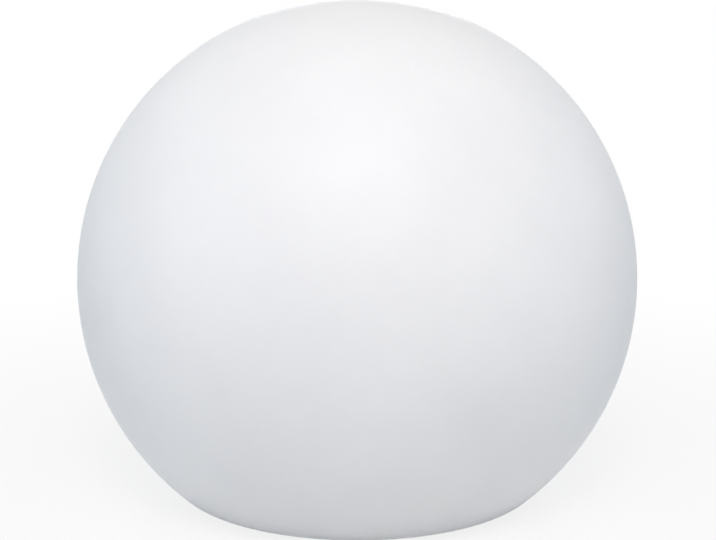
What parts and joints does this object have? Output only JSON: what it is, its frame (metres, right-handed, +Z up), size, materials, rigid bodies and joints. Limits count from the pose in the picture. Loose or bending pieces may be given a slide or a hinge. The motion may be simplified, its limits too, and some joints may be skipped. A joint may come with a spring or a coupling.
{
  "type": "garden globe light",
  "caption": "White garden globe with a flat foot that twists off a sealed rechargeable light module with a button, a charging port and rubber feet.",
  "frame": {"origin": "on the ground under the globe's centre", "axes": "+Z up through the top of the globe; -Y is the side seen in the picture; +X to its right"},
  "size_m": [0.3, 0.3, 0.2665],
  "materials": {
    "globe_polyethylene": "translucent milky-white polyethylene with a fine matt skin",
    "brass": "turned brass",
    "white_casing": "white moulded plastic, fine matt",
    "black_rubber": "black rubber",
    "grey_silicone": "grey silicone",
    "steel": "stainless steel",
    "spreader_aluminium": "plain aluminium",
    "white_board": "white solder mask",
    "chip_phosphor": "pale yellow phosphor over the chips",
    "frosted_dome": "frosted polycarbonate",
    "cell_wrap": "blue shrink wrap",
    "black_foam": "black foam",
    "black_plastic": "black plastic",
    "green_board": "green solder mask",
    "connector_plastic": "cream nylon",
    "lead_insulation": "red insulation",
    "clear_plastic": "clear acrylic",
    "membrane": "white breathable membrane"
  },
  "bodies": {
    "base_module": {"module_housing": "white_casing", "base_cover": "white_casing", "cover_gasket": "black_rubber", "cover_screws": "steel", "foot_pads": "black_rubber", "heat_spreader": "spreader_aluminium", "led_board": "white_board", "led_chips": "chip_phosphor", "led_board_screws": "steel", "light_dome": "frosted_dome", "dome_gasket": "black_rubber", "dome_clamp_ring": "white_casing", "dome_screws": "steel", "battery_cells": "cell_wrap", "cell_tabs": "steel", "battery_pad": "black_foam", "battery_cradle": "black_plastic", "cradle_screws": "steel", "control_board": "green_board", "board_screws": "steel", "driver_chips": "black_plastic", "inductors": "black_plastic", "capacitors": "spreader_aluminium", "led_header": "connector_plastic", "led_ribbon": "lead_insulation", "battery_header": "connector_plastic", "battery_leads": "lead_insulation", "button_boot": "grey_silicone", "boot_retainer": "black_plastic", "retainer_screws": "steel", "tact_switch": "black_plastic", "status_led": "clear_plastic", "light_pipe": "clear_plastic", "door_hinge_pin": "steel", "charge_socket": "black_plastic", "socket_pin": "steel", "vent_body": "black_plastic", "vent_membrane": "membrane", "vent_nut": "black_plastic"},
    "seal": {"module_seal": "black_rubber"},
    "globe": {"globe_shell": "globe_polyethylene", "insert_bushes": "brass", "ring_gasket": "black_rubber", "lock_ring": "white_casing", "ring_screws": "steel"},
    "power_button": {"power_button": "white_casing", "switch_stem": "black_plastic"},
    "port_door": {"port_door": "white_casing", "door_seal": "grey_silicone"}
  },
  "joints": [
    {"name": "globe_turn", "type": "hinge", "parent": "base_module", "child": "seal", "pos_m": [0, 0, 0], "axis": [0, 0, 1], "range_deg": [0, 507]},
    {"name": "globe_lift", "type": "slide", "parent": "seal", "child": "globe", "axis": [0, 0, 1], "range_m": [0, 0.0845]},
    {"name": "button_press", "type": "slide", "parent": "base_module", "child": "power_button", "axis": [0, 0, 1], "range_m": [0, 0.0008], "stiffness_N_per_m": 1000, "springref_m": -0.0005, "deforming": ["button_boot"]},
    {"name": "port_door_open", "type": "hinge", "parent": "base_module", "child": "port_door", "pos_m": [0, 0.0318, 0.0031], "axis": [-1, 0, 0], "range_deg": [0, 90]}
  ],
  "couplings": [
    {"joint": "globe_lift", "follows": "globe_turn", "m_per_rad": 0.0095493}
  ]
}
